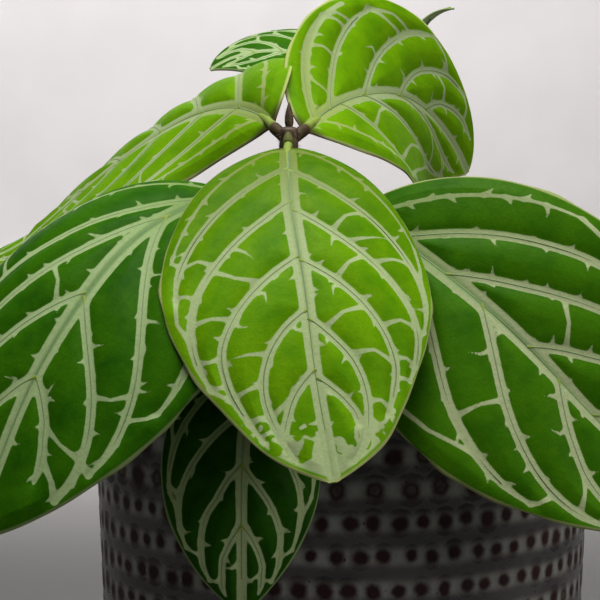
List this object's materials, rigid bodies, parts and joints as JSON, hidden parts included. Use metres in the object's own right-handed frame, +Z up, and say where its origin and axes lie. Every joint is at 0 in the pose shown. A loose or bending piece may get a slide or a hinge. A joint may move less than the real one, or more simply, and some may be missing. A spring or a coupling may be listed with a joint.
{
  "type": "potted chamaeranthemum",
  "caption": "Small house plant with broad oval pale-veined leaves on short upright stems, rooted in soil in a round glazed stoneware pot with rows of dark spots.",
  "frame": {"origin": "middle of the pot's flat base, on the surface it stands on", "axes": "+Z up along the pot's axis, the side seen in the picture faces -Y, +X to that viewer's right"},
  "size_m": [0.1651, 0.1702, 0.1912],
  "materials": {
    "pot": "satin",
    "soil": "matte",
    "stem": "satin",
    "bud": "satin",
    "leaf": "satin"
  },
  "bodies": {
    "root": {"pot": "pot", "soil": "soil", "stem_front": "stem", "bud_front": "bud", "stem_back": "stem", "bud_back": "bud", "stem_side": "stem", "bud_side": "bud", "leaf_front": "leaf", "leaf_lower_left": "leaf", "leaf_lower_right": "leaf", "leaf_lower_front": "leaf", "leaf_upper_left": "leaf", "leaf_upper_right": "leaf", "leaf_back_high_left": "leaf", "leaf_back_high_right": "leaf", "leaf_back_mid_left": "leaf", "leaf_back_mid_right": "leaf", "leaf_back_low_right": "leaf", "leaf_back_low_left": "leaf", "leaf_side_high": "leaf", "leaf_side_mid": "leaf", "leaf_side_low": "leaf", "leaf_low_right": "leaf"}
  },
  "joints": []
}
